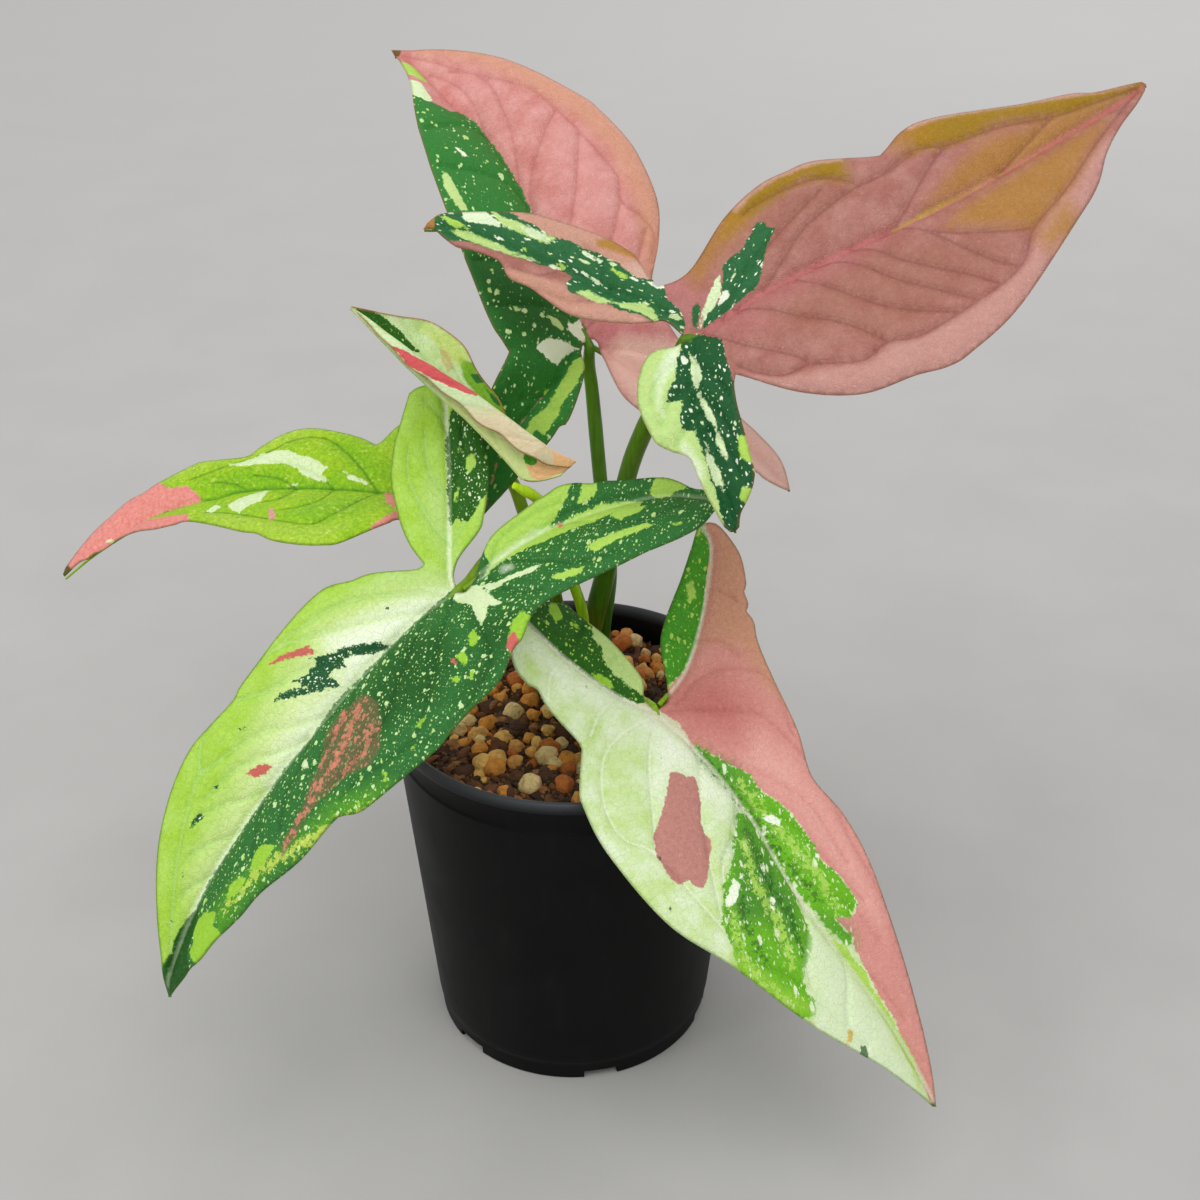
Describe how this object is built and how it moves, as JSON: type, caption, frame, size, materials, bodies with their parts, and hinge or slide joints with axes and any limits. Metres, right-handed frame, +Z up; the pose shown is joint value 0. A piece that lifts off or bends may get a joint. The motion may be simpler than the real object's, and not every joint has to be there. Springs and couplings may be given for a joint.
{
  "type": "potted arrowhead plant",
  "caption": "Arrowhead plant with pink, cream and green variegated arrow-shaped leaves, rooted in bark soil in a round black nursery pot.",
  "frame": {"origin": "centre of the pot's flat underside, on the surface it stands on", "axes": "+Z up out of the pot, -Y towards the pictured side, +X to the right of the picture"},
  "size_m": [0.3483, 0.2205, 0.3299],
  "materials": {
    "pot_plastic": "matte black with a slight sheen, glossier on the rim",
    "soil_mix": "rough dark brown bark and coir with pale mineral grains",
    "leaf_pink": "satin leaf skin, dusty pink with green and cream patches",
    "leaf_lime": "satin leaf skin, yellow-green with cream, pink and dark green patches",
    "stalk_green": "smooth olive green petiole skin"
  },
  "bodies": {
    "root": {"pot": "pot_plastic", "soil": "soil_mix", "main_stem": "stalk_green", "blade_back": "leaf_pink", "blade_right": "leaf_pink", "blade_new": "leaf_lime", "blade_front_left": "leaf_lime", "blade_front_right": "leaf_lime", "blade_far_left": "leaf_lime", "stalk_back": "stalk_green", "stalk_right": "stalk_green", "stalk_new": "stalk_green", "stalk_front_left": "stalk_green", "stalk_front_right": "stalk_green", "stalk_far_left": "stalk_green"}
  },
  "joints": []
}
